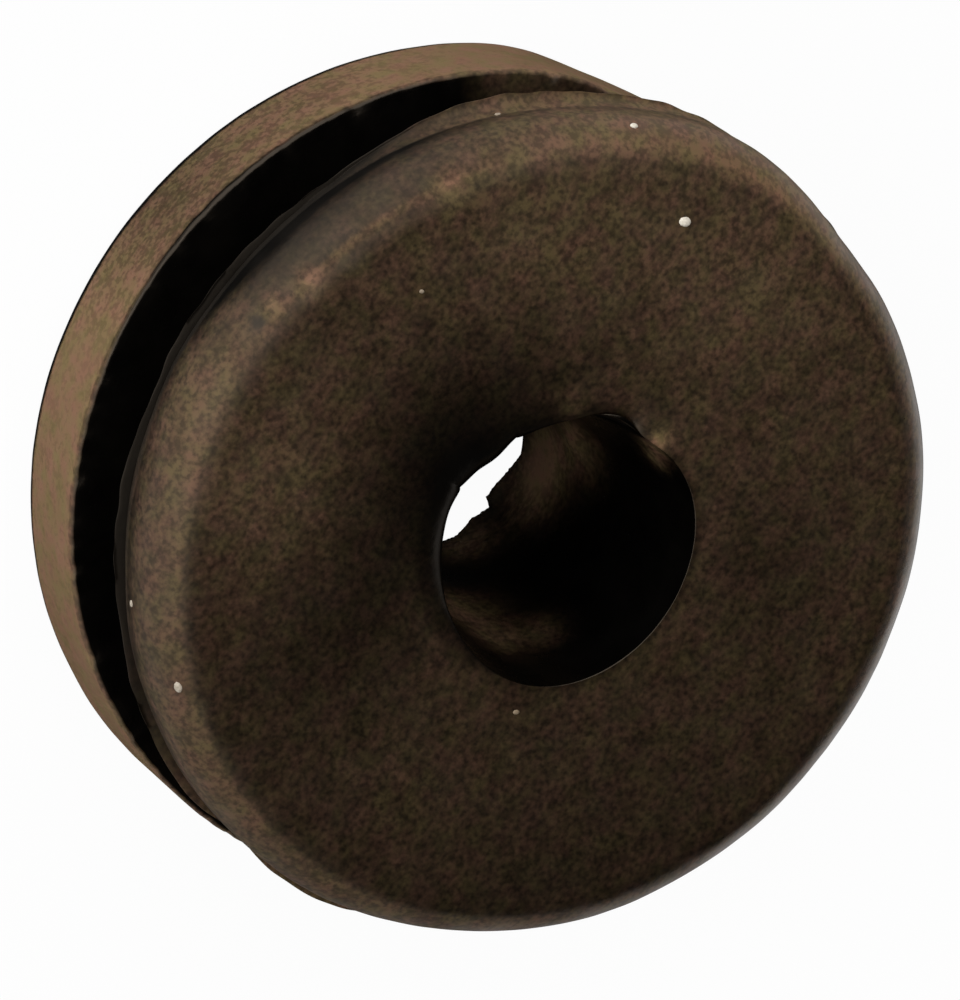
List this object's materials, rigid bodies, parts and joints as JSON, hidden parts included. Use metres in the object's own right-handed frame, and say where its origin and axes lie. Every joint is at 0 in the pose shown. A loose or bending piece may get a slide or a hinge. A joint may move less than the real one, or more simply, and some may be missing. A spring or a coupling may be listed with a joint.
{
  "type": "rubber grommet",
  "caption": "Round black rubber grommet: rounded flanges either side of a groove that grips a panel's edge, and a bore for a cable or pipe whose mouth is rolled on one side and leans out on the other.",
  "frame": {"origin": "centre of the rear flange's flat bottom face, on the bore's axis", "axes": "+Z along the bore, from the rear face that it lies on to the front face with the wide mouth; +Y is the side of the mouth where the bore's wall leans out, and -Y the side where its edge is rolled"},
  "size_m": [0.02, 0.02, 0.0078],
  "materials": {
    "rubber": "dull moulded black rubber with a faint brown dust"
  },
  "bodies": {
    "root": {"grommet": "rubber"}
  },
  "joints": []
}
